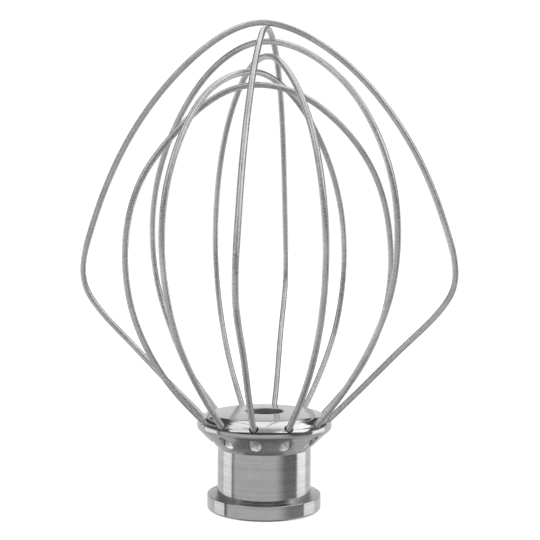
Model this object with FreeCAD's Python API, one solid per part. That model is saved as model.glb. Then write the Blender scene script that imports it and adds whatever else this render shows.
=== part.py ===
import FreeCAD, Part
import math
import os

# Wire whip for a stand mixer, standing on its hub with the tip up.
# Origin: centre of the hub's base face. +Z up along the drive bore. Millimetres.
# wire_1 lies in the XZ plane, wire_2 in the YZ plane.

V = FreeCAD.Vector

# ---- driving dimensions: hub -------------------------------------------------------------
BORE_R = 6.4            # running clearance on a 12.7 mm drive shaft
BORE_EDGE = 0.35        # broken edges of the bore
FLANGE_R = 19.6
FLANGE_H = 5.1
FLANGE_FOOT_ROUND = 0.9
FLANGE_TOP_ROUND = 0.15
NECK_R = 16.12
NECK_FOOT_FILLET = 0.06
NECK_TOP_Z = 21.3       # where neck and flare meet
NECK_TOP_FILLET = 0.5
FLARE_SLOPE = 1.05      # radius gained per mm of height
RIM_R = 23.25
SHOULDER_ROUND = 3.2
SHOULDER_Z = 28.94      # height of the widest circle
SHOULDER_TURN = 30.0    # degrees, slope where the shoulder eases into a larger radius
SHOULDER_EASE = 9.8
CROWN_TILT = 4.4        # degrees, slope of the crown where it meets the shoulder
CROWN_TILT_IN = 0.6     # degrees, slope of the crown at the bore

# ---- driving dimensions: bayonet keyway for the shaft's cross pin --------------------------
KEY_W = 5.2
KEY_R = 9.9
KEY_TOP = 10.2
KEY_TURN = 40.0         # degrees
KEY_AZ = 75.0           # degrees from +X

# ---- driving dimensions: wires and their lock pins -----------------------------------------
WIRE_R = 1.05
WIRE_GAP = 0.04         # radial clearance of a wire in its hole
FOOT_R = 22.1           # each hole's axis passes here, 45 degrees to the bore
FOOT_Z = 31.0
WIRE_DEPTH = 12.0       # from that point down to the wire's end
MOUTH_R = 1.25          # countersunk mouth
PIN_R = 2.25
PIN_GAP = 0.02          # pin in its pocket, and over the wire
PIN_Z = 25.15
PIN_FACE_R = 18.3       # the pin's flat outer end, recessed in its hole and flush at the bottom

# ---- the six wires ---------------------------------------------------------------------------
# name: (direction of the right-hand leg, degrees from +X; rows of the centre line from the
# left-hand hole over the tip to the right-hand hole: along that direction, height, sideways)
WIRES = {
    "wire_1": (0, [
        (-22.1, 31, 0), (-33.54, 41.9, -0.03), (-49.32, 57.53, -0.05), (-60.57, 69.38, -0.06),
        (-64.32, 75.93, -0.07), (-65.08, 83.14, -0.06), (-62.69, 94.16, -0.06), (-56.48, 111.49, -0.05),
        (-49.01, 126.62, -0.05), (-39.91, 140.08, -0.05), (-29.32, 151.79, -0.05), (-18.63, 160.49, -0.04),
        (-9.48, 165.21, -0.01), (-1.81, 166.54, 0), (6.49, 164.88, -0.04), (17, 159.71, -0.09),
        (27.95, 151.46, -0.08), (38.34, 140.43, -0.08), (47.67, 127.13, -0.07), (55.18, 112.54, -0.06),
        (61.47, 95.32, -0.06), (64.18, 83.83, -0.06), (63.61, 76.59, -0.06), (60.07, 70.15, -0.04),
        (48.81, 58.18, -0.04), (33.04, 42.02, -0.02), (22.1, 31, 0),
    ]),
    "wire_2": (-90, [
        (-22.1, 31, 0), (-33.04, 41.61, -0.43), (-48.5, 57.16, -1.41), (-59.89, 69.08, -1.79),
        (-63.63, 75.42, -1.87), (-64.34, 82.26, -1.87), (-61.94, 93.05, -1.76), (-55.7, 110.23, -1.38),
        (-48.31, 124.95, -0.86), (-39.26, 138.08, -0.27), (-28.8, 149.39, 0.26), (-18.09, 157.8, 0.53),
        (-8.46, 162.66, 0.52), (-0.37, 164.16, 0.35), (7.61, 162.82, 0.24), (17.11, 158.17, 0.54),
        (28.08, 149.78, 0.84), (38.63, 138.67, 1.09), (47.85, 125.65, 1.26), (55.38, 111.08, 1.37),
        (61.73, 93.95, 1.45), (64.38, 82.86, 1.48), (63.82, 75.81, 1.5), (60.32, 69.55, 1.48),
        (49.6, 58.34, 1.27), (34.69, 43.25, 0.42), (22.1, 31, 0),
    ]),
    "wire_3": (-30, [
        (-22.1, 31, 0), (-33.62, 42.53, -0.4), (-43.9, 58.31, -0.58), (-51.11, 75.09, -0.68),
        (-53.79, 91.29, -0.86), (-52.55, 107.95, -1.08), (-47.5, 123.38, -1.26), (-38.14, 138.6, -1.45),
        (-26.95, 150.05, -1.63), (-14.55, 157.31, -1.67), (-2.74, 159.88, -1.53), (9.39, 157.98, -1.57),
        (23.46, 151.23, -1.65), (35.11, 141.36, -1.46), (45.05, 127.34, -1.23), (51.13, 112.36, -1.1),
        (53.45, 95.74, -0.94), (51.88, 79.46, -0.72), (46.25, 63.87, -0.55), (35.47, 46.22, -0.46),
        (22.1, 31, 0),
    ]),
    "wire_4": (-60, [
        (-22.1, 31, 0), (-35.88, 45.94, -0.24), (-44.75, 60.17, -0.44), (-50.42, 75.98, -0.68),
        (-52.2, 91.7, -0.92), (-50.16, 107.31, -1.15), (-44.35, 123.16, -1.38), (-36.19, 135.27, -1.55),
        (-23.87, 146.35, -1.69), (-12.16, 152.54, -1.76), (-0.25, 154.51, -1.78), (11.83, 152.57, -1.81),
        (23.5, 146.49, -1.8), (35.87, 135.46, -1.69), (44.13, 123.42, -1.52), (50.03, 107.6, -1.23),
        (52.19, 92.01, -0.91), (50.53, 76.35, -0.64), (44.94, 60.52, -0.42), (36.17, 46.31, -0.25),
        (22.1, 31, 0),
    ]),
    "wire_5": (60, [
        (-22.1, 31, 0), (-31.45, 42.11, 0.11), (-42.14, 59.11, 0.45), (-47.19, 73.86, 0.87),
        (-49.17, 89.92, 1.39), (-47.4, 105.57, 1.95), (-42.35, 119.47, 2.44), (-33.3, 133.75, 2.85),
        (-24.17, 142.2, 2.9), (-12.21, 147.89, 2.77), (-0.86, 149.67, 2.69), (10.48, 147.34, 2.9),
        (23.46, 140.71, 3.24), (33.02, 131.85, 3.12), (42.44, 117.55, 2.41), (47.4, 104.1, 1.85),
        (49.15, 88.67, 1.34), (47.1, 72.46, 0.85), (42.06, 58.13, 0.48), (31.79, 42.02, 0.18), (22.1, 31, 0),
    ]),
    "wire_6": (30, [
        (-22.1, 31, 0), (-32.41, 42.01, -0.1), (-41.84, 56.49, -0.12), (-47.23, 70.69, -0.07),
        (-49.17, 86.07, -0.03), (-47.66, 101.06, -0.07), (-42.9, 113.77, -0.21), (-33.71, 126.35, -0.37),
        (-21.29, 138.26, -0.33), (-11.23, 143.66, -0.35), (-0.34, 145.19, -0.4), (11.19, 143.04, -0.36),
        (22.6, 136.86, -0.33), (34.12, 126.36, -0.39), (42, 114.59, -0.23), (46.68, 100.83, -0.04),
        (48.3, 84.59, -0.03), (46.55, 69.04, -0.11), (41.4, 55.21, -0.14), (32.43, 41.58, -0.08),
        (22.1, 31, 0),
    ]),
}


def vec2(r, z):
    return V(r, 0, z)


def polar(az, r, side, z):
    a = math.radians(az)
    return V(r * math.cos(a) - side * math.sin(a), r * math.sin(a) + side * math.cos(a), z)


def line(a, b):
    return Part.LineSegment(a, b).toShape()


def arc3(a, m, b):
    return Part.Arc(a, m, b).toShape()


def round_corner(p, c, q, r):
    """Tangent arc of radius r in the corner p-c-q: start, middle, end."""
    u, w = (p - c), (q - c)
    u.normalize()
    w.normalize()
    half = math.acos(max(-1.0, min(1.0, u.dot(w)))) / 2.0
    t = r / math.tan(half)
    b = u + w
    b.normalize()
    centre = c + b * (r / math.sin(half))
    return c + u * t, centre - b * r, c + w * t


# ---- hub -------------------------------------------------------------------------------------
def hub_profile():
    shoulder_r = RIM_R - SHOULDER_ROUND
    t2, t1, t0 = (math.radians(t) for t in (SHOULDER_TURN, CROWN_TILT, CROWN_TILT_IN))

    def shoulder(t):
        return vec2(shoulder_r + SHOULDER_ROUND * math.sin(t), SHOULDER_Z + SHOULDER_ROUND * math.cos(t))

    def onward(p, r, t_from, t):
        """Point of slope t on the arc of radius r that leaves p with slope t_from."""
        return vec2(p.x - r * (math.sin(t_from) - math.sin(t)), p.z + r * (math.cos(t) - math.cos(t_from)))

    sh_mid, sh_end = shoulder((math.pi / 2.0 + t2) / 2.0), shoulder(t2)
    ease_mid, ease_end = (onward(sh_end, SHOULDER_EASE, t2, t) for t in ((t1 + t2) / 2.0, t1))
    crown_in_r = BORE_R + BORE_EDGE
    crown_big = (ease_end.x - crown_in_r) / (math.sin(t1) - math.sin(t0))

    def crown(t):
        return onward(ease_end, crown_big, t1, t)

    crown_in = crown(t0)
    lip = vec2(BORE_R, crown_in.z - BORE_EDGE)
    d = BORE_EDGE * (1.0 - math.sqrt(0.5))
    lip_mid = vec2(BORE_R + d, crown_in.z - d)

    flare_top = vec2(RIM_R, NECK_TOP_Z + (RIM_R - NECK_R) / FLARE_SLOPE)
    # the rounding under the rim ends exactly at the widest circle
    rim_under = (SHOULDER_Z - flare_top.z) * math.tan((math.pi / 2.0 + math.atan2(1.0, FLARE_SLOPE)) / 2.0)
    corners = [
        (vec2(FLANGE_R, 0), FLANGE_FOOT_ROUND),
        (vec2(FLANGE_R, FLANGE_H), FLANGE_TOP_ROUND),
        (vec2(NECK_R, FLANGE_H), NECK_FOOT_FILLET),
        (vec2(NECK_R, NECK_TOP_Z), NECK_TOP_FILLET),
        (flare_top, rim_under),
    ]
    start = vec2(BORE_R + BORE_EDGE, 0)
    path = [start] + [c for c, _ in corners] + [vec2(RIM_R, SHOULDER_Z + 5.0)]
    edges, at = [], start
    for i, (c, r) in enumerate(corners):
        a, m, b = round_corner(path[i], c, path[i + 2], r)
        edges.append(line(at, a))
        edges.append(arc3(a, m, b))
        at = b
    edges.append(arc3(at, sh_mid, sh_end))
    edges.append(arc3(sh_end, ease_mid, ease_end))
    edges.append(arc3(ease_end, crown((t0 + t1) / 2.0), crown_in))
    edges.append(arc3(crown_in, lip_mid, lip))
    edges.append(line(lip, vec2(BORE_R, BORE_EDGE)))
    edges.append(line(vec2(BORE_R, BORE_EDGE), start))
    return edges, crown_in.z


def sector(r, z0, z1, az0, az1):
    return Part.makeCylinder(r, z1 - z0, V(0, 0, z0), V(0, 0, 1), az1 - az0).rotated(V(0, 0, 0), V(0, 0, 1), az0)


def half_space(az, lift):
    """Block outside the 45-degree plane through the wire hole's axis, moved out by lift."""
    box = Part.makeBox(40, 40, 40, V(0, -20, -20)).rotated(V(0, 0, 0), V(0, 1, 0), 45)
    off = math.sqrt(0.5) * lift
    return box.translated(V(FOOT_R + off, 0, FOOT_Z - off)).rotated(V(0, 0, 0), V(0, 0, 1), az)


def slot(r, w, z0, z1, az):
    box = Part.makeBox(r + 1.0, w, z1 - z0, V(0, -w / 2.0, z0))
    return box.common(Part.makeCylinder(r, z1 - z0, V(0, 0, z0))).rotated(V(0, 0, 0), V(0, 0, 1), az)


edges, HUB_TOP = hub_profile()
blank = Part.Face(Part.Wire(edges)).revolve(V(0, 0, 0), V(0, 0, 1), 360)
if blank.ShapeType != "Solid":
    blank = Part.makeSolid(blank) if blank.ShapeType == "Shell" else blank.Solids[0]

key = slot(KEY_R, KEY_W, -1.0, KEY_TOP, KEY_AZ)
key = key.fuse(sector(KEY_R, KEY_TOP - KEY_W, KEY_TOP, KEY_AZ, KEY_AZ + KEY_TURN))
key = key.fuse(slot(KEY_R, KEY_W, KEY_TOP - KEY_W, KEY_TOP, KEY_AZ + KEY_TURN)).removeSplitter()
hub = blank.cut(key)

legs = []
for name, (az, rows) in WIRES.items():
    legs += [az, az + 180.0]
cuts = []
for az in legs:
    up = polar(az, 1, 0, 1)
    up.normalize()
    foot = polar(az, FOOT_R, 0, FOOT_Z)
    cuts.append(Part.makeCylinder(WIRE_R + WIRE_GAP, WIRE_DEPTH + 0.4 + 5.0, foot - up * (WIRE_DEPTH + 0.4), up))
    cuts.append(Part.makeCone(WIRE_R, MOUTH_R + 1.0, 2.2, foot - up * 0.75, up))
    pocket = Part.makeCylinder(PIN_R + PIN_GAP, 20.0, polar(az, 10.0, 0, PIN_Z), polar(az, 1, 0, 0))
    cuts.append(pocket.common(half_space(az, 0.0)))
hub = hub.cut(cuts[0].multiFuse(cuts[1:]))
hub = hub.Solids[0] if len(hub.Solids) == 1 else hub


# ---- wires -----------------------------------------------------------------------------------
def tangents(p, t0, t1):
    """Tangents of the smooth curve through p that starts along t0 and ends along t1."""
    n = len(p)
    h = [(p[i + 1] - p[i]).Length for i in range(n - 1)]
    m = [V(t0)] + [None] * (n - 2) + [V(t1)]
    c, d = [0.0] * n, [V(t0)] + [None] * (n - 1)
    for i in range(1, n - 1):
        lam = h[i] / (h[i - 1] + h[i])
        mu = 1.0 - lam
        rhs = (p[i] - p[i - 1]) * (3.0 * lam / h[i - 1]) + (p[i + 1] - p[i]) * (3.0 * mu / h[i])
        den = 2.0 - lam * c[i - 1]
        c[i] = mu / den
        d[i] = (rhs - d[i - 1] * lam) * (1.0 / den)
    for i in range(n - 2, 0, -1):
        m[i] = d[i] - m[i + 1] * c[i]
    for t in m:
        t.normalize()
    return m


def arc_from(a, t, b):
    """Arc from a, leaving along t, to b; and its radius and direction at b."""
    ch = b - a
    length = ch.Length
    ch = ch * (1.0 / length)
    k = max(-1.0, min(1.0, ch.dot(t)))
    half = math.acos(k)
    end = ch * (2.0 * k) - t
    if half < 2e-4:
        return line(a, b), 1e9, end
    nrm = t - ch * k
    nrm.normalize()
    r = length / (2.0 * math.sin(half))
    mid = (a + b) * 0.5 + nrm * (r * (1.0 - math.cos(half)))
    return arc3(a, mid, b), r, end


def wire_path(az, rows):
    p = [polar(az, s, o, z) for s, z, o in rows]
    t0 = polar(az, -1, 0, 1)
    t1 = polar(az, -1, 0, -1)
    t0.normalize()
    t1.normalize()
    tan = tangents(p, t0, t1)
    out, radii = [line(p[0] - t0 * WIRE_DEPTH, p[0])], []
    for i in range(len(p) - 1):
        v, t = p[i + 1] - p[i], tan[i] + tan[i + 1]
        g = 1.0 - tan[i].dot(tan[i + 1])
        if g < 1e-9:
            d = v.dot(v) / (4.0 * v.dot(tan[i + 1]))
        else:
            d = (-v.dot(t) + math.sqrt(v.dot(t) ** 2 + 2.0 * g * v.dot(v))) / (2.0 * g)
        m = (p[i] + p[i + 1] + (tan[i] - tan[i + 1]) * d) * 0.5
        e, r, at = arc_from(p[i], tan[i], m)
        out.append(e)
        radii.append(r)
        e, r, at = arc_from(m, at, p[i + 1])
        out.append(e)
        radii.append(r)
    out.append(line(p[-1], p[-1] + t1 * WIRE_DEPTH))
    return Part.Wire(out), p[0] - t0 * WIRE_DEPTH, t0, min(radii)


nodes = {"hub": hub}
for name, (az, rows) in WIRES.items():
    path, start, along, tightest = wire_path(az, rows)
    ring = Part.Wire([Part.Circle(start, along, WIRE_R).toShape()])
    solid = path.makePipeShell([ring], True, False)
    solid = solid.Solids[0] if solid.Solids else solid
    share = solid.Volume / (math.pi * WIRE_R ** 2 * path.Length)
    print(name, "length %.1f" % path.Length, "tightest bend %.1f" % tightest, "volume share %.5f" % share, solid.isValid())
    nodes[name] = solid

# ---- lock pins: pressed in radially, the inner end formed over the wire -------------------------
for name, (az, rows) in WIRES.items():
    pair = []
    for a in (az, az + 180.0):
        pin = Part.makeCylinder(PIN_R, PIN_FACE_R - 10.0, polar(a, 10.0, 0, PIN_Z), polar(a, 1, 0, 0)).common(blank)
        pin = pin.common(half_space(a, PIN_GAP))
        up = polar(a, 1, 0, 1)
        up.normalize()
        pin = pin.cut(Part.makeCylinder(WIRE_R + PIN_GAP, 30.0, polar(a, FOOT_R, 0, FOOT_Z) - up * 20.0, up))
        if len(pin.Solids) != 1:
            raise ValueError("%s pin came apart" % name)
        pair.append(pin.Solids[0])
    nodes[name + "_pins"] = Part.makeCompound(pair)

os.makedirs("parts", exist_ok=True)
for name, shape in nodes.items():
    shape.exportStep("parts/%s.step" % name)
    b = shape.BoundBox
    print("%-12s solids %d valid %s volume %.1f mm3  z %.2f..%.2f" % (name, len(shape.Solids), shape.isValid(), shape.Volume, b.ZMin, b.ZMax))
print("hub top %.2f" % HUB_TOP)
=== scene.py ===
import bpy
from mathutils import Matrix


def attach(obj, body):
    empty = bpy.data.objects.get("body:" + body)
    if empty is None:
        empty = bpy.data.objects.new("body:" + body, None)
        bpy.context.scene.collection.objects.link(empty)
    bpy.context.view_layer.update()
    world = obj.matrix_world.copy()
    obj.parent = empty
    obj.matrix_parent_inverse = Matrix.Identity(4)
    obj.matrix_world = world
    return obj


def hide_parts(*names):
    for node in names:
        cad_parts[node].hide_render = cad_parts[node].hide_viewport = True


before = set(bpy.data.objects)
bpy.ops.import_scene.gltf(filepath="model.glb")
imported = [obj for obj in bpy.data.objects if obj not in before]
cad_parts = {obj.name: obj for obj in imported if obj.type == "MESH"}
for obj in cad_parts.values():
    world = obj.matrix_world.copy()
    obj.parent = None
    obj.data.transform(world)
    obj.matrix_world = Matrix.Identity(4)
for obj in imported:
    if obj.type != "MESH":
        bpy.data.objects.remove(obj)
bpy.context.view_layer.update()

import math

import bmesh
import bpy
import numpy as np
from mathutils import Matrix, Vector

MM = 0.001
scene = bpy.context.scene
rng = np.random.default_rng(11)

# ---------------------------------------------------------------------------------------------
# Camera. It stands 361 mm from the whip's axis, a little above the middle of the wires.
# Its own axes are x right, y away, z up; AROUND turns them into the row frame.
# ---------------------------------------------------------------------------------------------
AROUND = math.radians(8.955)
CAM_D, CAM_Z = 0.36089, 0.094263
PITCH, YAW, ROLL = math.radians(1.9255), math.radians(0.2425), math.radians(0.4297)
FOCAL = 1051.2145 / 540.0


def around(v):
    c, s = math.cos(AROUND), math.sin(AROUND)
    return Vector((c * v[0] - s * v[1], s * v[0] + c * v[1], v[2]))


fw = Vector((math.sin(YAW) * math.cos(PITCH), math.cos(YAW) * math.cos(PITCH), -math.sin(PITCH)))
rt = Vector((math.cos(YAW), -math.sin(YAW), 0.0))
up = rt.cross(fw)
right = rt * math.cos(ROLL) + up * math.sin(ROLL)
above = up * math.cos(ROLL) - rt * math.sin(ROLL)
cols = [around(right), around(above), around(-fw)]
cam_data = bpy.data.cameras.new("camera")
cam_data.sensor_fit = "HORIZONTAL"
cam_data.sensor_width = 36.0
cam_data.lens = 36.0 * FOCAL
cam_data.clip_start, cam_data.clip_end = 0.01, 50.0
cam = bpy.data.objects.new("camera", cam_data)
scene.collection.objects.link(cam)
m = Matrix.Identity(4)
for j, c in enumerate(cols):
    for i in range(3):
        m[i][j] = c[i]
m.translation = around((0.0, -CAM_D, CAM_Z))
cam.matrix_world = m
scene.camera = cam


# ---------------------------------------------------------------------------------------------
# Node helpers
# ---------------------------------------------------------------------------------------------
class Tree:
    def __init__(self, owner):
        owner.use_nodes = True
        self.t = owner.node_tree
        self.t.nodes.clear()

    def n(self, kind, inputs=None, **props):
        node = self.t.nodes.new(kind)
        for k, v in props.items():
            setattr(node, k, v)
        for k, v in (inputs or {}).items():
            if isinstance(v, bpy.types.NodeSocket):
                self.t.links.new(v, node.inputs[k])
            else:
                node.inputs[k].default_value = v
        return node

    def math(self, op, a, b=None, clamp=False):
        node = self.t.nodes.new("ShaderNodeMath")
        node.operation = op
        node.use_clamp = clamp
        for i, v in enumerate((a, b)):
            if v is None:
                continue
            if isinstance(v, bpy.types.NodeSocket):
                self.t.links.new(v, node.inputs[i])
            else:
                node.inputs[i].default_value = v
        return node.outputs[0]

    def noise(self, vector, scale, detail=2.0, rough=0.5, distortion=0.0):
        return self.n("ShaderNodeTexNoise", {"Vector": vector, "Scale": scale, "Detail": detail, "Roughness": rough,
                                             "Distortion": distortion}).outputs["Fac"]

    def span(self, value, lo, hi, to_lo, to_hi):
        return self.n("ShaderNodeMapRange", {"Value": value, "From Min": lo, "From Max": hi, "To Min": to_lo, "To Max": to_hi}).outputs["Result"]

    def scaled(self, vector, xyz):
        return self.n("ShaderNodeMapping", {"Vector": vector, "Scale": xyz}).outputs["Vector"]

    def grey(self, value, stops):
        node = self.t.nodes.new("ShaderNodeValToRGB")
        e = node.color_ramp.elements
        while len(e) < len(stops):
            e.new(0.5)
        for x, (pos, rgb) in zip(e, stops):
            x.position = pos
            x.color = (*rgb, 1.0)
        self.t.links.new(value, node.inputs["Fac"])
        return node.outputs["Color"]


def material(name):
    mat = bpy.data.materials.new(name)
    return mat, Tree(mat)


# ---------------------------------------------------------------------------------------------
# Materials of the whip
# ---------------------------------------------------------------------------------------------
def turned_metal(name, faced):
    """Polished aluminium off the lathe: fine rings about the bore, short streaks, a few handling marks.
    The flange's upper face is cross-brushed (faced)."""
    mat, t = material(name)
    co = t.n("ShaderNodeTexCoord").outputs["Object"]
    xyz = t.n("ShaderNodeSeparateXYZ", {"Vector": co})
    flat = t.n("ShaderNodeCombineXYZ", {"X": xyz.outputs["X"], "Y": xyz.outputs["Y"], "Z": 0.0}).outputs[0]
    radius = t.n("ShaderNodeVectorMath", {0: flat}, operation="LENGTH").outputs["Value"]
    ring = t.n("ShaderNodeCombineXYZ", {"X": radius, "Y": xyz.outputs["Z"], "Z": 0.0}).outputs[0]
    fine = t.noise(ring, 3400.0, 3.0, 0.6)
    coarse = t.noise(ring, 900.0, 2.0, 0.55)
    patch = t.noise(co, 260.0, 4.0, 0.62)
    cloud = t.noise(co, 70.0, 3.0, 0.55)
    nick = t.noise(t.scaled(co, (900.0, 900.0, 2600.0)), 1.0, 2.0, 0.6)
    streak = t.noise(t.scaled(co, (330.0, 330.0, 2100.0)), 1.0, 3.0, 0.62)
    tone = t.math("ADD", t.math("MULTIPLY", coarse, 0.40), t.math("MULTIPLY", patch, 0.35))
    tone = t.math("ADD", tone, t.math("MULTIPLY", streak, 0.25))
    dim = 0.82 if faced else 1.0
    colour = t.grey(tone, [(at, tuple(v * dim for v in rgb)) for at, rgb in
                           ((0.34, (0.60, 0.602, 0.607)), (0.50, (0.69, 0.692, 0.696)), (0.66, (0.77, 0.772, 0.775)))])
    gloss = t.math("ADD", t.math("MULTIPLY", cloud, 0.5), t.math("MULTIPLY", fine, 0.5))
    # the head is polished brighter than neck and flange; the bore is left as drilled
    rough = t.math("ADD", t.span(gloss, 0.3, 0.7, 0.21, 0.26) if faced else t.span(gloss, 0.3, 0.7, 0.0, 0.05), t.span(xyz.outputs["Z"], 0.0205, 0.0225, 0.11, 0.055))
    rough = t.math("ADD", rough, t.span(xyz.outputs["Z"], 0.0055, 0.0085, -0.045, 0.0))
    rough = t.math("ADD", rough, t.span(radius, 0.0064, 0.0072, 0.40, 0.0))
    rough = t.math("ADD", rough, t.math("MULTIPLY", t.span(radius, 0.0172, 0.0182, 0.075, 0.0), t.span(xyz.outputs["Z"], 0.0322, 0.0328, 0.0, 1.0)))
    # painted shade: the colour is darkened to 0.72 inside the bore, below a radius of 6.4 to 6.7 mm
    bore_shade = t.span(radius, 0.0064, 0.0067, 0.72, 1.0)
    colour = t.n("ShaderNodeVectorMath", {0: colour, "Scale": bore_shade}, operation="SCALE").outputs["Vector"]
    relief = t.math("ADD", t.math("MULTIPLY", fine, 0.5), t.math("MULTIPLY", coarse, 0.6))
    relief = t.math("ADD", relief, t.math("MULTIPLY", t.span(nick, 0.28, 0.42, 0.0, 1.0), 0.30))
    relief = t.math("ADD", relief, t.math("MULTIPLY", patch, 0.9))
    relief = t.math("ADD", relief, t.math("MULTIPLY", streak, t.span(xyz.outputs["Z"], 0.0205, 0.0225, 2.4, 1.0)))
    relief = t.math("MULTIPLY", relief, t.span(xyz.outputs["Z"], 0.0054, 0.0075, 0.30, 1.0))
    bump = t.n("ShaderNodeBump", {"Height": relief, "Strength": 0.30, "Distance": 0.00004}).outputs["Normal"]
    tangent = t.n("ShaderNodeTangent", direction_type="RADIAL", axis="Z").outputs["Tangent"]
    bsdf = t.n("ShaderNodeBsdfPrincipled", {"Base Color": colour, "Metallic": 1.0, "Roughness": rough, "Tangent": tangent, "Normal": bump,
                                            "Anisotropic": 0.90 if faced else 0.45, "Anisotropic Rotation": 0.0 if faced else 0.25})
    t.n("ShaderNodeOutputMaterial", {"Surface": bsdf.outputs[0]})
    return mat


def drawn_wire():
    """Satin stainless wire: drawing lines along it, and the mottle of a well used whip."""
    mat, t = material("drawn_stainless")
    at = t.n("ShaderNodeAttribute", attribute_name="wire_co", attribute_type="GEOMETRY").outputs["Vector"]
    co = t.n("ShaderNodeTexCoord").outputs["Object"]
    lines = t.noise(t.scaled(at, (5.0, 5.0, 0.35)), 1.0, 3.0, 0.6)
    mottle = t.noise(t.scaled(at, (1.2, 1.2, 1.5)), 1.0, 4.0, 0.65)
    cloud = t.noise(co, 90.0, 3.0, 0.55)
    tone = t.math("ADD", t.math("MULTIPLY", mottle, 0.6), t.math("MULTIPLY", cloud, 0.4))
    colour = t.grey(tone, [(0.32, (0.42, 0.42, 0.422)), (0.52, (0.62, 0.621, 0.623)), (0.70, (0.82, 0.821, 0.822))])
    rough = t.span(mottle, 0.3, 0.7, 0.22, 0.38)
    relief = t.math("ADD", t.math("MULTIPLY", lines, 0.8), t.math("MULTIPLY", mottle, 0.9))
    bump = t.n("ShaderNodeBump", {"Height": relief, "Strength": 0.4, "Distance": 0.00006}).outputs["Normal"]
    bsdf = t.n("ShaderNodeBsdfPrincipled", {"Base Color": colour, "Metallic": 0.86, "Roughness": rough, "Normal": bump})
    t.n("ShaderNodeOutputMaterial", {"Surface": bsdf.outputs[0]})
    return mat


def peened_steel():
    """Ends of the lock pins: hammered in and left matt, with painted light: the lower part of each end is painted
    brighter, the upper part darker.
    """
    mat, t = material("peened_steel")
    co = t.n("ShaderNodeTexCoord").outputs["Object"]
    grain = t.noise(co, 1500.0, 4.0, 0.65)
    patch = t.span(t.noise(co, 950.0, 3.0, 0.6), 0.34, 0.66, 0.12, 0.60)
    height = t.n("ShaderNodeSeparateXYZ", {"Vector": co}).outputs["Z"]
    # painted light and shade: tone is raised by 0.30 below 23.6 mm height and by only 0.06 above 24.6 mm, so the pin
    # ends are lighter at the bottom
    tone = t.math("ADD", patch, t.span(height, 0.0236, 0.0246, 0.30, 0.06))
    colour = t.grey(tone, [(0.30, (0.385, 0.385, 0.387)), (0.52, (0.57, 0.571, 0.572)), (0.74, (0.80, 0.801, 0.802))])
    rough = t.span(grain, 0.3, 0.7, 0.40, 0.60)
    bump = t.n("ShaderNodeBump", {"Height": grain, "Strength": 0.8, "Distance": 0.0001}).outputs["Normal"]
    bsdf = t.n("ShaderNodeBsdfPrincipled", {"Base Color": colour, "Metallic": 0.45, "Roughness": rough, "Normal": bump})
    t.n("ShaderNodeOutputMaterial", {"Surface": bsdf.outputs[0]})
    return mat


HUB_MAT, FACED_MAT = turned_metal("turned_aluminium", False), turned_metal("brushed_aluminium", True)
WIRE_MAT, PIN_MAT = drawn_wire(), peened_steel()


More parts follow.
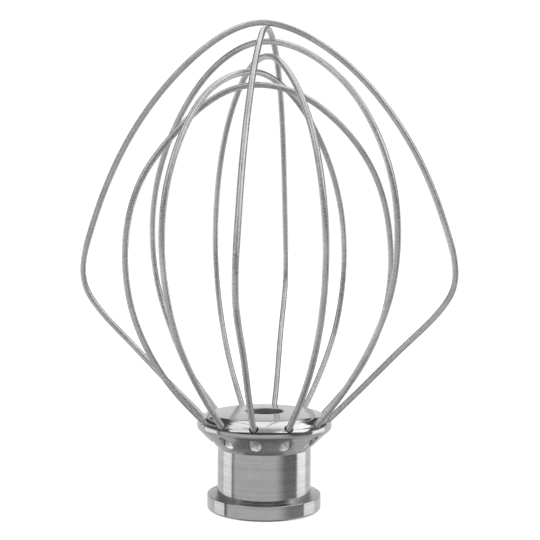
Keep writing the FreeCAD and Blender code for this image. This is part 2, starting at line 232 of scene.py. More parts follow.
# ---------------------------------------------------------------------------------------------
# Wires: the same centre lines as the CAD part, in millimetres:
# direction of the right-hand leg, then along that direction, height, sideways.
# ---------------------------------------------------------------------------------------------
WIRE_R, WIRE_DEPTH = 1.045, 12.0
WIRES = {
    "wire_1": (0, [
        (-22.1, 31, 0), (-33.54, 41.9, -0.03), (-49.32, 57.53, -0.05), (-60.57, 69.38, -0.06),
        (-64.32, 75.93, -0.07), (-65.08, 83.14, -0.06), (-62.69, 94.16, -0.06), (-56.48, 111.49, -0.05),
        (-49.01, 126.62, -0.05), (-39.91, 140.08, -0.05), (-29.32, 151.79, -0.05), (-18.63, 160.49, -0.04),
        (-9.48, 165.21, -0.01), (-1.81, 166.54, 0), (6.49, 164.88, -0.04), (17, 159.71, -0.09),
        (27.95, 151.46, -0.08), (38.34, 140.43, -0.08), (47.67, 127.13, -0.07), (55.18, 112.54, -0.06),
        (61.47, 95.32, -0.06), (64.18, 83.83, -0.06), (63.61, 76.59, -0.06), (60.07, 70.15, -0.04),
        (48.81, 58.18, -0.04), (33.04, 42.02, -0.02), (22.1, 31, 0),
    ]),
    "wire_2": (-90, [
        (-22.1, 31, 0), (-33.04, 41.61, -0.43), (-48.5, 57.16, -1.41), (-59.89, 69.08, -1.79),
        (-63.63, 75.42, -1.87), (-64.34, 82.26, -1.87), (-61.94, 93.05, -1.76), (-55.7, 110.23, -1.38),
        (-48.31, 124.95, -0.86), (-39.26, 138.08, -0.27), (-28.8, 149.39, 0.26), (-18.09, 157.8, 0.53),
        (-8.46, 162.66, 0.52), (-0.37, 164.16, 0.35), (7.61, 162.82, 0.24), (17.11, 158.17, 0.54),
        (28.08, 149.78, 0.84), (38.63, 138.67, 1.09), (47.85, 125.65, 1.26), (55.38, 111.08, 1.37),
        (61.73, 93.95, 1.45), (64.38, 82.86, 1.48), (63.82, 75.81, 1.5), (60.32, 69.55, 1.48),
        (49.6, 58.34, 1.27), (34.69, 43.25, 0.42), (22.1, 31, 0),
    ]),
    "wire_3": (-30, [
        (-22.1, 31, 0), (-33.62, 42.53, -0.4), (-43.9, 58.31, -0.58), (-51.11, 75.09, -0.68),
        (-53.79, 91.29, -0.86), (-52.55, 107.95, -1.08), (-47.5, 123.38, -1.26), (-38.14, 138.6, -1.45),
        (-26.95, 150.05, -1.63), (-14.55, 157.31, -1.67), (-2.74, 159.88, -1.53), (9.39, 157.98, -1.57),
        (23.46, 151.23, -1.65), (35.11, 141.36, -1.46), (45.05, 127.34, -1.23), (51.13, 112.36, -1.1),
        (53.45, 95.74, -0.94), (51.88, 79.46, -0.72), (46.25, 63.87, -0.55), (35.47, 46.22, -0.46),
        (22.1, 31, 0),
    ]),
    "wire_4": (-60, [
        (-22.1, 31, 0), (-35.88, 45.94, -0.24), (-44.75, 60.17, -0.44), (-50.42, 75.98, -0.68),
        (-52.2, 91.7, -0.92), (-50.16, 107.31, -1.15), (-44.35, 123.16, -1.38), (-36.19, 135.27, -1.55),
        (-23.87, 146.35, -1.69), (-12.16, 152.54, -1.76), (-0.25, 154.51, -1.78), (11.83, 152.57, -1.81),
        (23.5, 146.49, -1.8), (35.87, 135.46, -1.69), (44.13, 123.42, -1.52), (50.03, 107.6, -1.23),
        (52.19, 92.01, -0.91), (50.53, 76.35, -0.64), (44.94, 60.52, -0.42), (36.17, 46.31, -0.25),
        (22.1, 31, 0),
    ]),
    "wire_5": (60, [
        (-22.1, 31, 0), (-31.45, 42.11, 0.11), (-42.14, 59.11, 0.45), (-47.19, 73.86, 0.87),
        (-49.17, 89.92, 1.39), (-47.4, 105.57, 1.95), (-42.35, 119.47, 2.44), (-33.3, 133.75, 2.85),
        (-24.17, 142.2, 2.9), (-12.21, 147.89, 2.77), (-0.86, 149.67, 2.69), (10.48, 147.34, 2.9),
        (23.46, 140.71, 3.24), (33.02, 131.85, 3.12), (42.44, 117.55, 2.41), (47.4, 104.1, 1.85),
        (49.15, 88.67, 1.34), (47.1, 72.46, 0.85), (42.06, 58.13, 0.48), (31.79, 42.02, 0.18), (22.1, 31, 0),
    ]),
    "wire_6": (30, [
        (-22.1, 31, 0), (-32.41, 42.01, -0.1), (-41.84, 56.49, -0.12), (-47.23, 70.69, -0.07),
        (-49.17, 86.07, -0.03), (-47.66, 101.06, -0.07), (-42.9, 113.77, -0.21), (-33.71, 126.35, -0.37),
        (-21.29, 138.26, -0.33), (-11.23, 143.66, -0.35), (-0.34, 145.19, -0.4), (11.19, 143.04, -0.36),
        (22.6, 136.86, -0.33), (34.12, 126.36, -0.39), (42, 114.59, -0.23), (46.68, 100.83, -0.04),
        (48.3, 84.59, -0.03), (46.55, 69.04, -0.11), (41.4, 55.21, -0.14), (32.43, 41.58, -0.08),
        (22.1, 31, 0),
    ]),
}


def centre_line(az, rows, step=0.7):
    """Smooth curve through the rows, clamped to 45 degrees at both feet, with straight ends in the hub."""
    r = np.array(rows, float)
    a = math.radians(az)
    u, n, k = np.array([math.cos(a), math.sin(a), 0]), np.array([-math.sin(a), math.cos(a), 0]), np.array([0, 0, 1.0])
    p = r[:, :1] * u + r[:, 2:] * n + r[:, 1:2] * k
    c = math.sqrt(0.5)
    t0, t1 = (k - u) * c, (-k - u) * c
    h = np.linalg.norm(np.diff(p, axis=0), axis=1)
    m = len(p)
    A, B = np.zeros((m, m)), np.zeros((m, 3))
    A[0, 0] = A[-1, -1] = 1.0
    B[0], B[-1] = t0, t1
    for i in range(1, m - 1):
        A[i, i - 1], A[i, i], A[i, i + 1] = h[i], 2 * (h[i - 1] + h[i]), h[i - 1]
        B[i] = 3 * (h[i] / h[i - 1] * (p[i] - p[i - 1]) + h[i - 1] / h[i] * (p[i + 1] - p[i]))
    d = np.linalg.solve(A, B)
    out = [p[0] - t0 * x for x in np.linspace(WIRE_DEPTH, 0, 13)[:-1]]
    for i in range(m - 1):
        q = max(2, int(round(h[i] / step)))
        s = np.linspace(0, 1, q, endpoint=False)[:, None]
        out += list((2 * s**3 - 3 * s**2 + 1) * p[i] + (s**3 - 2 * s**2 + s) * h[i] * d[i]
                    + (3 * s**2 - 2 * s**3) * p[i + 1] + (s**3 - s**2) * h[i] * d[i + 1])
    out += [p[-1] + t1 * x for x in np.linspace(0, WIRE_DEPTH, 13)]
    return np.array(out)


def new_object(name, verts, faces, mats, smooth=True):
    me = bpy.data.meshes.new(name)
    me.from_pydata([tuple(v) for v in verts], [], faces)
    me.validate()
    for mat in mats:
        me.materials.append(mat)
    me.polygons.foreach_set("use_smooth", [smooth] * len(me.polygons))
    ob = bpy.data.objects.new(name, me)
    scene.collection.objects.link(ob)
    return ob


def wire_mesh(name, line, radius, sides=28):
    n = len(line)
    tan = np.gradient(line, axis=0)
    tan /= np.linalg.norm(tan, axis=1)[:, None]
    ref = np.cross(tan[0], [0, 0, 1.0])
    ref /= np.linalg.norm(ref)
    run = np.r_[0, np.cumsum(np.linalg.norm(np.diff(line, axis=0), axis=1))]
    rings, co = [], []
    ang = np.linspace(0, 2 * math.pi, sides, endpoint=False)
    for i in range(n):
        ref = ref - tan[i] * ref.dot(tan[i])
        ref /= np.linalg.norm(ref)
        side = np.cross(tan[i], ref)
        ring = np.cos(ang)[:, None] * ref + np.sin(ang)[:, None] * side
        shrink = 0.86 if i in (0, n - 1) else 1.0  # broken edge of the cut ends
        rings.append(line[i] + ring * radius * shrink)
        co += [(math.cos(x) * radius, math.sin(x) * radius, run[i]) for x in ang]
    verts = np.vstack(rings) * MM
    faces = []
    for i in range(n - 1):
        for j in range(sides):
            k = (j + 1) % sides
            faces.append((i * sides + j, i * sides + k, (i + 1) * sides + k, (i + 1) * sides + j))
    faces.append(tuple(range(sides - 1, -1, -1)))
    faces.append(tuple((n - 1) * sides + j for j in range(sides)))
    ob = new_object(name, verts, faces, [WIRE_MAT])
    ob.data.polygons[len(faces) - 1].use_smooth = False
    ob.data.polygons[len(faces) - 2].use_smooth = False
    a = ob.data.attributes.new("wire_co", "FLOAT_VECTOR", "POINT")
    a.data.foreach_set("vector", np.array(co, np.float32).ravel())
    return ob


for name, (az, rows) in WIRES.items():
    line = centre_line(az, rows)
    # keep the cut ends where the CAD wire ends: the first and last ring are the broken edge
    line = np.vstack([line[:1], line[:1] + (line[1] - line[0]) * 0.25, line[1:-1], line[-1:] + (line[-2] - line[-1]) * 0.25, line[-1:]])
    ob = wire_mesh("loop_" + name, line, WIRE_R)
    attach(ob, "root")
    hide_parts(name)

# ---------------------------------------------------------------------------------------------
# Hub: one turned profile, then the wire holes, the pin pockets and the keyway are cut out of it
# ---------------------------------------------------------------------------------------------
BORE_R, BORE_EDGE = 6.4, 0.35
FLANGE_R, FLANGE_H, FLANGE_FOOT_ROUND, FLANGE_TOP_ROUND = 19.6, 5.1, 0.9, 0.15
NECK_R, NECK_FOOT_FILLET, NECK_TOP_Z, NECK_TOP_FILLET = 16.12, 0.06, 21.3, 0.5
FLARE_SLOPE, RIM_R, SHOULDER_ROUND, SHOULDER_Z = 1.05, 23.25, 3.2, 28.94
SHOULDER_TURN, SHOULDER_EASE, CROWN_TILT, CROWN_TILT_IN = 30.0, 9.8, 4.4, 0.6
FOOT_R, FOOT_Z, WIRE_GAP, MOUTH_R = 22.1, 31.0, 0.045, 1.25
PIN_R, PIN_GAP, PIN_Z, PIN_FACE_R = 2.25, 0.02, 25.15, 18.3
KEY_W, KEY_R, KEY_TOP, KEY_TURN, KEY_AZ = 5.2, 9.9, 10.2, 40.0, 75.0


def line_piece(a, b):
    return ("line", np.array(a, float), np.array(b, float))


def arc_piece(c, r, a0, a1, sign):
    """Arc about c; angles in degrees from +r towards +z; sign +1 where the metal is inside the arc."""
    return ("arc", np.array(c, float), r, a0, a1, sign)


def corner(p, c, q, r):
    p, c, q = (np.array(v, float) for v in (p, c, q))
    u, w = (p - c) / np.linalg.norm(p - c), (q - c) / np.linalg.norm(q - c)
    half = math.acos(max(-1, min(1, u @ w))) / 2
    t = r / math.tan(half)
    b = (u + w) / np.linalg.norm(u + w)
    centre = c + b * (r / math.sin(half))
    a, e = c + u * t, c + w * t
    a0 = math.degrees(math.atan2(*(a - centre)[::-1]))
    a1 = math.degrees(math.atan2(*(e - centre)[::-1]))
    d = (a1 - a0 + 180) % 360 - 180
    return a, e, arc_piece(centre, r, a0, a0 + d, 1.0 if d > 0 else -1.0)


def hub_profile():
    """Counter-clockwise in (r, z): along the base, up the outside, over the crown, down the bore."""
    flare_top = (RIM_R, NECK_TOP_Z + (RIM_R - NECK_R) / FLARE_SLOPE)
    lean = math.atan2(1.0, FLARE_SLOPE)
    rim_under = (SHOULDER_Z - flare_top[1]) * math.tan((math.pi - (math.pi / 2 - lean)) / 2)
    pts = [(BORE_R + BORE_EDGE, 0.0), (FLANGE_R, 0.0), (FLANGE_R, FLANGE_H), (NECK_R, FLANGE_H), (NECK_R, NECK_TOP_Z), flare_top, (RIM_R, SHOULDER_Z + 5)]
    rad = [FLANGE_FOOT_ROUND, FLANGE_TOP_ROUND, NECK_FOOT_FILLET, NECK_TOP_FILLET, rim_under]
    out, at = [], np.array(pts[0])
    for i, r in enumerate(rad):
        a, e, arc = corner(pts[i], pts[i + 1], pts[i + 2], r)
        out += [line_piece(at, a), arc]
        at = e
    sr = RIM_R - SHOULDER_ROUND
    out.append(arc_piece((sr, SHOULDER_Z), SHOULDER_ROUND, 0.0, 90.0 - SHOULDER_TURN, 1.0))
    t2, t1, t0 = (math.radians(t) for t in (SHOULDER_TURN, CROWN_TILT, CROWN_TILT_IN))
    cc = np.array([sr, SHOULDER_Z]) + (SHOULDER_ROUND - SHOULDER_EASE) * np.array([math.sin(t2), math.cos(t2)])
    out.append(arc_piece(cc, SHOULDER_EASE, 90.0 - SHOULDER_TURN, 90.0 - CROWN_TILT, 1.0))
    end = cc + SHOULDER_EASE * np.array([math.sin(t1), math.cos(t1)])
    inner = BORE_R + BORE_EDGE
    big = (end[0] - inner) / (math.sin(t1) - math.sin(t0))
    cc = end - big * np.array([math.sin(t1), math.cos(t1)])
    out.append(arc_piece(cc, big, 90.0 - CROWN_TILT, 90.0 - CROWN_TILT_IN, 1.0))
    top = cc[1] + big * math.cos(t0)
    out.append(arc_piece((inner, top - BORE_EDGE), BORE_EDGE, 90.0, 180.0, 1.0))
    out.append(line_piece((BORE_R, top - BORE_EDGE), (BORE_R, BORE_EDGE)))
    out.append(line_piece((BORE_R, BORE_EDGE), pts[0]))
    return out


def piece_points(q):
    if q[0] == "line":
        k = max(1, int(math.ceil(np.linalg.norm(q[2] - q[1]) / 1.2)))
        return [q[1] + (q[2] - q[1]) * i / k for i in range(k)]
    k = max(4, int(math.ceil(abs(q[4] - q[3]) / 4.0)))
    if q[2] > 20:
        k = 12
    return [q[1] + q[2] * np.array([math.cos(math.radians(x)), math.sin(math.radians(x))]) for x in np.linspace(q[3], q[4], k + 1)[:-1]]


def piece_distance(q, p):
    """Distance of points p (n, 2) to a profile piece."""
    if q[0] == "line":
        d = q[2] - q[1]
        s = np.clip(((p - q[1]) @ d) / (d @ d), 0, 1)
        return np.linalg.norm(p - (q[1] + s[:, None] * d), axis=1)
    v = p - q[1]
    a = np.degrees(np.arctan2(v[:, 1], v[:, 0]))
    mid, span = (q[3] + q[4]) / 2, abs(q[4] - q[3]) / 2
    off = np.abs((a - mid + 180) % 360 - 180)
    on = np.abs(np.linalg.norm(v, axis=1) - q[2])
    return np.where(off <= span + 1e-6, on, 1e3)


def piece_normal(q, p):
    if q[0] == "line":
        d = (q[2] - q[1]) / np.linalg.norm(q[2] - q[1])
        return np.tile([d[1], -d[0]], (len(p), 1))
    v = p - q[1]
    return q[5] * v / np.linalg.norm(v, axis=1)[:, None]


PROFILE = hub_profile()


def lathe(points, segments):
    a = np.linspace(0, 2 * math.pi, segments, endpoint=False)
    p = np.array(points)
    verts = np.stack([np.outer(np.cos(a), p[:, 0]), np.outer(np.sin(a), p[:, 0]), np.tile(p[:, 1], (segments, 1))], 2).reshape(-1, 3)
    k = len(p)
    faces = []
    for i in range(segments):
        j = (i + 1) % segments
        for q in range(k):
            r = (q + 1) % k
            faces.append((i * k + q, j * k + q, j * k + r, i * k + r))
    return verts, faces


def spindle(points, at, axis, sides):
    """Closed solid of revolution: points (radius, along) about a line; its first and last radius are 0."""
    axis = np.array(axis, float) / np.linalg.norm(axis)
    u = np.cross(axis, [0.3, 0.1, 0.9])
    u /= np.linalg.norm(u)
    w = np.cross(axis, u)
    a = np.linspace(0, 2 * math.pi, sides, endpoint=False)
    verts = [np.array(at) + axis * points[0][1]]
    for r, s in points[1:-1]:
        verts += [np.array(at) + axis * s + (math.cos(x) * u + math.sin(x) * w) * r for x in a]
    verts.append(np.array(at) + axis * points[-1][1])
    faces, k = [], len(points) - 2
    for j in range(sides):
        n = (j + 1) % sides
        faces.append((0, 1 + n, 1 + j))
        for i in range(k - 1):
            faces.append((1 + i * sides + j, 1 + i * sides + n, 1 + (i + 1) * sides + n, 1 + (i + 1) * sides + j))
        faces.append((1 + (k - 1) * sides + j, 1 + (k - 1) * sides + n, len(verts) - 1))
    return verts, faces


def out_at(az, r, z, side=0.0):
    a = math.radians(az)
    return np.array([r * math.cos(a) - side * math.sin(a), r * math.sin(a) + side * math.cos(a), z])


def bevelled(az, r, lift, reach, sides):
    """Radial cylinder out to reach, whose inner end is the 45-degree plane through the wire's axis."""
    floor_at = FOOT_R - FOOT_Z + PIN_Z + lift * math.sqrt(2)
    ang = np.linspace(0, 2 * math.pi, sides, endpoint=False)
    rim = [(r * math.cos(x), r * math.sin(x)) for x in ang]
    verts = [out_at(az, floor_at + h, PIN_Z + h, y) for y, h in rim] + [out_at(az, reach, PIN_Z + h, y) for y, h in rim]
    faces = [tuple(range(sides - 1, -1, -1)), tuple(range(sides, 2 * sides))]
    faces += [(i, (i + 1) % sides, sides + (i + 1) % sides, sides + i) for i in range(sides)]
    return verts, faces


def prism(outline, z0, z1):
    n = len(outline)
    verts = [(x, y, z0) for x, y in outline] + [(x, y, z1) for x, y in outline]
    faces = [tuple(range(n - 1, -1, -1)), tuple(range(n, 2 * n))]
    faces += [(i, (i + 1) % n, n + (i + 1) % n, n + i) for i in range(n)]
    return [np.array(v, float) for v in verts], faces


def joined(parts):
    verts, faces = [], []
    for v, f in parts:
        faces += [tuple(i + len(verts) for i in q) for q in f]
        verts += list(v)
    return np.array(verts), faces


profile_points = [p for q in PROFILE for p in piece_points(q)]
verts, faces = lathe(profile_points, 300)
hub = new_object("hub_turned", verts * MM, faces, [HUB_MAT, HUB_MAT])
legs = [az + half for az, _ in WIRES.values() for half in (0, 180)]

holes, pockets = [], []
for az in legs:
    axis = out_at(az, 1, 1) / math.sqrt(2)
    holes.append(spindle([(0, -WIRE_DEPTH - 0.4), (WIRE_R + WIRE_GAP, -WIRE_DEPTH - 0.4), (WIRE_R + WIRE_GAP, -0.75 + 2.2 * WIRE_GAP / (MOUTH_R + 1 - WIRE_R)),
                          (MOUTH_R + 1.0, 1.45), (MOUTH_R + 1.0, 4.0), (0, 4.0)], out_at(az, FOOT_R, FOOT_Z), axis, 48))
    pockets.append(bevelled(az, PIN_R + PIN_GAP, 0.0, 30.0, 64))


def key_outline(az, w, r):
    reach = math.asin(w / 2 / r)
    arc = [(r * math.cos(x), r * math.sin(x)) for x in np.linspace(-reach, reach, 9)]
    a = math.radians(az)
    pts = [(0.0, w / 2), (0.0, -w / 2)] + arc
    return [(x * math.cos(a) - y * math.sin(a), x * math.sin(a) + y * math.cos(a)) for x, y in pts]


a0, a1 = math.radians(KEY_AZ), math.radians(KEY_AZ + KEY_TURN)
sector = [(0.0, 0.0)] + [(KEY_R * math.cos(x), KEY_R * math.sin(x)) for x in np.linspace(a0, a1, 25)]
cutters = [joined(holes), joined(pockets), prism(key_outline(KEY_AZ, KEY_W, KEY_R), -1.0, KEY_TOP),
           prism(sector, KEY_TOP - KEY_W, KEY_TOP - 0.0005), prism(key_outline(KEY_AZ + KEY_TURN, KEY_W, KEY_R), KEY_TOP - KEY_W + 0.0005, KEY_TOP - 0.001)]


def cut(ob, v, f, mats):
    tool = new_object("cutter", np.array(v) * MM, f, mats)
    tool.data.polygons.foreach_set("material_index", [len(mats) - 1] * len(tool.data.polygons))
    mod = ob.modifiers.new("cut", "BOOLEAN")
    mod.operation, mod.solver, mod.object = "DIFFERENCE", "EXACT", tool
    dg = bpy.context.evaluated_depsgraph_get()
    done = bpy.data.meshes.new_from_object(ob.evaluated_get(dg), preserve_all_data_layers=True, depsgraph=dg)
    ob.modifiers.clear()
    old, name = ob.data, ob.data.name
    ob.data = done
    bpy.data.meshes.remove(old)
    bpy.data.objects.remove(tool)
    done.name = name


def tidy(ob):
    """Merge the doubled points that cutting leaves, and drop points that only split a straight edge."""
    bm = bmesh.new()
    bm.from_mesh(ob.data)
    bmesh.ops.remove_doubles(bm, verts=bm.verts[:], dist=5e-7)
    spare = []
    for v in bm.verts:
        if len(v.link_edges) == 2:
            a, b = (e.other_vert(v).co - v.co for e in v.link_edges)
            if a.cross(b).length < 2e-6 * (a - b).length and a.dot(b) < 0:
                spare.append(v)
    bmesh.ops.dissolve_verts(bm, verts=spare)
    bmesh.ops.dissolve_degenerate(bm, dist=5e-7, edges=bm.edges[:])
    bm.to_mesh(ob.data)
    bm.free()


for v, f in cutters:
    cut(hub, v, f, [HUB_MAT, HUB_MAT])
tidy(hub)


def exact_normals(ob):
    """Turned faces get the profile's own normals; cut faces keep their own, with sharp edges."""
    me = ob.data
    me.set_sharp_from_angle(angle=math.radians(32))
    nv = len(me.vertices)
    co = np.empty(nv * 3, np.float32)
    me.vertices.foreach_get("co", co)
    co = co.reshape(-1, 3).astype(float) / MM
    rz = np.stack([np.hypot(co[:, 0], co[:, 1]), co[:, 2]], 1)
    loops = np.empty(len(me.loops), np.int32)
    me.loops.foreach_get("vertex_index", loops)
    start = np.empty(len(me.polygons), np.int32)
    total = np.empty(len(me.polygons), np.int32)
    which = np.empty(len(me.polygons), np.int32)
    me.polygons.foreach_get("loop_start", start)
    me.polygons.foreach_get("loop_total", total)
    me.polygons.foreach_get("material_index", which)
    face_of = np.repeat(np.arange(len(start)), total)
    mid = np.stack([np.bincount(face_of, rz[loops][:, k]) / total for k in (0, 1)], 1)
    best = np.argmin(np.stack([piece_distance(q, mid) for q in PROFILE]), 0)
    normals = np.zeros((len(loops), 3))
    for i, q in enumerate(PROFILE):
        sel = (best[face_of] == i) & (which[face_of] == 0)
        if not sel.any():
            continue
        n2 = piece_normal(q, rz[loops[sel]])
        xy = co[loops[sel]][:, :2] / rz[loops[sel]][:, :1]
        normals[sel] = np.stack([n2[:, 0] * xy[:, 0], n2[:, 0] * xy[:, 1], n2[:, 1]], 1)
    me.normals_split_custom_set(normals.tolist())
    # the flange's upper face, with the small fillet at the neck's foot
    me.materials.append(FACED_MAT)
    top = (which == 0) & (np.abs(mid[:, 1] - FLANGE_H) < NECK_FOOT_FILLET) & (mid[:, 0] > NECK_R - 0.01) & (mid[:, 0] < FLANGE_R - FLANGE_TOP_ROUND)
    me.polygons.foreach_set("material_index", np.where(top, len(me.materials) - 1, which).astype(np.int32))


exact_normals(hub)
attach(hub, "root")
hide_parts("hub")


# ---------------------------------------------------------------------------------------------
# Lock pins: hammered into their holes, the outer end flat and dented
# ---------------------------------------------------------------------------------------------
def dents(count):
    a = rng.uniform(0, 2 * math.pi, count)
    r = PIN_R * np.sqrt(rng.uniform(0, 0.85, count))
    return np.stack([r * np.cos(a), r * np.sin(a), rng.uniform(0.30, 0.65, count), rng.uniform(0.06, 0.16, count)], 1)


def pin_mesh(az, rings=22, sides=72):
    """Radial pin: outer end flat and dented, flush with the flare at the bottom; inner end still square."""
    marks = dents(16)

    def end(y, h):
        rho = math.hypot(y, h) / PIN_R
        skin = math.sqrt((NECK_R + FLARE_SLOPE * (PIN_Z + h - NECK_TOP_Z)) ** 2 - y * y)
        face = -0.10 * math.log(math.exp((17.0 - PIN_FACE_R) / 0.10) + math.exp((17.0 - skin) / 0.10)) + 17.0
        edge = 0.12 * max(0.0, (rho - 0.88) / 0.12) ** 2
        hit = sum(d * math.exp(-((y - a) ** 2 + (h - b) ** 2) / (w * w)) for a, b, w, d in marks)
        return face - edge - hit * max(0.0, 1 - rho**6)

    ang = np.linspace(0, 2 * math.pi, sides, endpoint=False)
    verts = [out_at(az, end(0, 0), PIN_Z)]
    for i in range(1, rings + 1):
        for x in ang:
            y, h = PIN_R * (i / rings) * math.cos(x), PIN_R * (i / rings) * math.sin(x)
            verts.append(out_at(az, end(y, h), PIN_Z + h, y))
    for x in ang:
        y, h = PIN_R * math.cos(x), PIN_R * math.sin(x)
        verts.append(out_at(az, 13.2, PIN_Z + h, y))
    faces = []
    for j in range(sides):
        n = (j + 1) % sides
        faces.append((0, 1 + j, 1 + n))
        for i in range(rings):
            b = 1 + i * sides
            faces.append((b + j, b + sides + j, b + sides + n, b + n))
    b = 1 + rings * sides
    faces.append(tuple(b + j for j in range(sides - 1, -1, -1)))
    return verts, faces


def inner_slab(az):
    """Block inside the 45-degree plane through the wire's axis, where the pin has no metal."""
    c = math.sqrt(0.5)
    verts = []
    for d in (PIN_GAP, -7.0):
        for a, y in ((-16, -6), (-1, -6), (-1, 6), (-16, 6)):
            verts.append(out_at(az, FOOT_R + c * (a + d), FOOT_Z + c * (a - d), y))
    faces = [(0, 3, 2, 1), (4, 5, 6, 7)] + [(i, (i + 1) % 4, 4 + (i + 1) % 4, 4 + i) for i in range(4)]
    return verts, faces


for name, (az, rows) in WIRES.items():
    v, f = joined([pin_mesh(az), pin_mesh(az + 180.0)])
    ob = new_object("peened_" + name + "_pins", v * MM, f, [PIN_MAT])
    grooves = [spindle([(0, -22.0), (WIRE_R + 0.025, -22.0), (WIRE_R + 0.025, 10.0), (0, 10.0)], out_at(x, FOOT_R, FOOT_Z), out_at(x, 1, 1), 48)
               for x in (az, az + 180.0)]
    cut(ob, *joined([inner_slab(az), inner_slab(az + 180.0)]), [PIN_MAT])
    cut(ob, *joined(grooves), [PIN_MAT])
    tidy(ob)
    ob.data.set_sharp_from_angle(angle=math.radians(50))
    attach(ob, "root")
    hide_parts(name + "_pins")


# ---------------------------------------------------------------------------------------------
# Studio. A plain white world and floor; what the metal mirrors is a dome of soft boxes and dark
# cards around it, which only reflections see. Directions: azimuth 0 towards the camera, plus to
# the right; elevation above the horizon.
# ---------------------------------------------------------------------------------------------
def step(v, a, b):
    t = np.clip((v - a) / (b - a), 0, 1)
    return t * t * (3 - 2 * t)


def band(v, a, b, sa, sb):
    return step(v, a - sa, a + sa) * (1 - step(v, b - sb, b + sb))


def studio(x, y, z):
    az = np.degrees(np.arctan2(x, -y))
    el = np.degrees(np.arcsin(np.clip(z, -1, 1)))
    far = np.abs(az)
    # walls: mid grey, lighter behind the whip, darker in front of the right-hand soft box
    wall = 0.50 + 0.13 * step(far, 118, 126) + 0.09 * step(far, 148, 168)
    near = step(-el, 13.9, 15.0)
    wall = wall + (0.13 + 0.13 * near - wall) * step(az, 24, 56) * (1 - step(az, 86.8, 89.2))
    wall = wall + (0.17 - 0.09 * near - wall) * band(az, -86.0, -79.5, 1.0, 5.0)
    # towards the floor everything fades to an even grey
    wall = wall + (0.40 + 0.06 * step(far, 80, 120) - wall) * step(-el, 18, 36)
    # dark above the walls, from 9.5 degrees in front to 20 behind
    edge = 9.5 + 10.5 * step(far, 120, 165) - 12 * step(az, 25, 60) * (1 - step(az, 86, 92))
    belt = 0.045 + 0.11 * step(far, 35, 75) * (1 - step(far, 115, 150)) * (1 - step(el, 17, 23))
    belt = belt + 0.025 * step(el, 17, 23)
    lum = wall + (belt - wall) * step(el, edge - 1.3, edge + 1.3)
    # low soft boxes at both sides
    left = band(az, -118.5, -86.0, 1.5, 1.0) * band(el, -20, 8.5, 5, 3)
    right = band(az, 88, 122, 1.0, 1.5) * band(el, -20, 8.5, 5, 3)
    lum = lum + (1.00 - 0.20 * near - lum) * left
    lum = lum + (1.16 - 0.31 * near - lum) * right
    # large soft box overhead: wide in front, narrow behind
    zz = np.maximum(z, 1e-4)
    u, w = x / zz, -y / zz
    lo = np.interp(w, [-2.9, -1.38, -0.71, -0.03, 0.3, 0.67, 1.5], [-0.20, -0.23, -0.36, -0.75, -1.1, -1.5, -2.6])
    hi = np.interp(w, [-2.9, -1.21, -0.85, -0.26, 0.23, 0.75, 1.6], [0.24, 0.33, 0.50, 1.25, 2.26, 3.2, 3.6])
    over = band(u, lo, hi, 0.04 + 0.05 * np.abs(lo), 0.04 + 0.05 * np.abs(hi)) * band(w, -2.05, 1.32, 0.06, 0.09) * (z > 0.05)
    power = 1.02 + 0.30 * step(u, 0.0, 0.6) + 0.15 * step(-w, 0.0, 0.8)
    power = power * (1 - 0.62 * band(u, -0.38, 0.46, 0.14, 0.14) * band(w, 0.0, 1.6, 0.3, 0.1))
    lum = lum + (power - lum) * over
    # the dark foot of the set, straight below, reaching further out in front
    reach = 24.0 * (1 - step(far, 50, 95))
    lum = lum + (0.15 - lum) * (1 - step(el, -66.5 + 0.2 * reach, -60.0 + reach))
    return lum


NA, NE = 360, 180
ea, ee = np.meshgrid(np.radians(np.arange(NA) * 360.0 / NA), np.radians(np.linspace(-90, 90, NE + 1)), indexing="ij")
dx, dy, dz = np.cos(ee) * np.sin(ea), -np.cos(ee) * np.cos(ea), np.sin(ee)
light = studio(dx, dy, dz)
c, s = math.cos(AROUND), math.sin(AROUND)
verts = np.stack([c * dx - s * dy, s * dx + c * dy, dz], 2).reshape(-1, 3) * 3.0 + np.array([0, 0, 0.03])
faces = [(i * (NE + 1) + j, i * (NE + 1) + j + 1, ((i + 1) % NA) * (NE + 1) + j + 1, ((i + 1) % NA) * (NE + 1) + j) for i in range(NA) for j in range(NE)]
mat, t = material("studio_light")
lum = t.n("ShaderNodeAttribute", attribute_name="lum", attribute_type="GEOMETRY").outputs["Fac"]
glow = t.n("ShaderNodeEmission", {"Color": (1, 1, 1, 1), "Strength": lum})
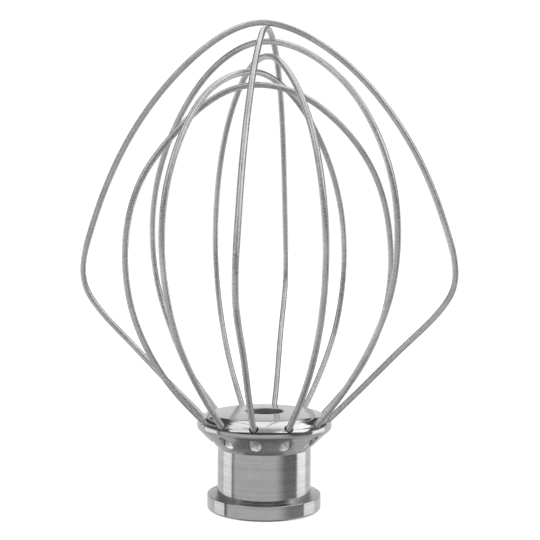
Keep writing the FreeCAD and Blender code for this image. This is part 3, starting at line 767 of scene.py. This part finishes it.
t.n("ShaderNodeOutputMaterial", {"Surface": glow.outputs[0]})
mat.cycles.emission_sampling = "NONE"
dome_me = bpy.data.meshes.new("studio_dome")
dome_me.from_pydata(verts.tolist(), [], faces)
dome_me.materials.append(mat)
att = dome_me.attributes.new("lum", "FLOAT", "POINT")
att.data.foreach_set("value", light.astype(np.float32).ravel())
dome = bpy.data.objects.new("studio_dome", dome_me)
scene.collection.objects.link(dome)
dome.visible_camera = dome.visible_diffuse = dome.visible_shadow = dome.visible_transmission = False

mat, t = material("floor")
geo = t.n("ShaderNodeNewGeometry")
paint = t.n("ShaderNodeBsdfDiffuse", {"Color": (0.34, 0.34, 0.34, 1)})
glow = t.n("ShaderNodeEmission", {"Color": (1, 1, 1, 1), "Strength": 0.80})
both = t.n("ShaderNodeAddShader", {0: paint.outputs[0], 1: glow.outputs[0]})
clear = t.n("ShaderNodeBsdfTransparent")
top = t.n("ShaderNodeMixShader", {0: geo.outputs["Backfacing"], 1: both.outputs[0], 2: clear.outputs[0]})
t.n("ShaderNodeOutputMaterial", {"Surface": top.outputs[0]})
mat.cycles.emission_sampling = "NONE"
floor = new_object("floor", [(-6, -6, -0.0002), (6, -6, -0.0002), (6, 6, -0.0002), (-6, 6, -0.0002)], [(0, 1, 2, 3)], [mat], False)
floor.visible_glossy = False

# a broad light from the left, for the matt share of wires and pins; polished metal doesn't mirror it
sun_data = bpy.data.lights.new("left_light", "SUN")
sun_data.energy, sun_data.angle = 4.0, math.radians(40)
sun = bpy.data.objects.new("left_light", sun_data)
scene.collection.objects.link(sun)
sun.rotation_euler = around((-0.93, -0.25, 0.27)).to_track_quat("Z", "Y").to_euler()
sun.visible_glossy = False

world = bpy.data.worlds.new("studio_world")
scene.world = world
t = Tree(world)
bg = t.n("ShaderNodeBackground", {"Color": (1, 1, 1, 1), "Strength": 1.05})
t.n("ShaderNodeOutputWorld", {"Surface": bg.outputs[0]})
world.cycles_visibility.glossy = False

scene.view_settings.view_transform = "Standard"
scene.view_settings.look = "None"
